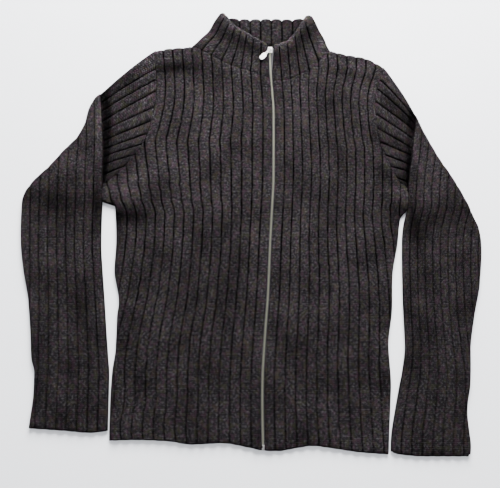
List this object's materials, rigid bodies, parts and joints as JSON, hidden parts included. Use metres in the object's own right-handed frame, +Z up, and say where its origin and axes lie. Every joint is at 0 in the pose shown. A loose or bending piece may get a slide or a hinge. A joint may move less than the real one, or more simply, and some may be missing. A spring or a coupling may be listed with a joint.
{
  "type": "zip-front sweater",
  "caption": "Chunky rib-knit sweater with a full-length front zip and stand collar, laid flat face up with its sleeves turned down beside the body.",
  "frame": {"origin": "on the surface the garment lies on, under the middle of its bounding box", "axes": "+X to the viewer's right, which is the wearer's left, +Y from hem to collar, +Z up from the surface, the way the front faces"},
  "size_m": [0.788, 0.78, 0.0148],
  "materials": {
    "yarn": "thick marled wool-blend rib knit, dark charcoal with brown, plum and olive flecks, matte and slightly fuzzy",
    "zip_tape": "woven black polyester tape",
    "zip_metal": "nickel-plated zip teeth, slider and pull tab, satin bright"
  },
  "bodies": {
    "sweater": {"back": "yarn", "front_right": "yarn", "front_left": "yarn", "sleeve_right": "yarn", "sleeve_left": "yarn", "collar": "yarn", "zip_right": "zip_tape", "zip_left": "zip_tape", "zip_box": "zip_metal", "slider": "zip_metal", "link": "zip_metal"},
    "pull_tab": {"pull_tab": "zip_metal"}
  },
  "joints": [
    {"name": "pull_tab_hinge", "type": "hinge", "parent": "sweater", "child": "pull_tab", "pos_m": [0.0335, 0.313, 0.0136], "axis": [-0.7547, 0.6561, 0], "range_deg": [0, 140]}
  ]
}
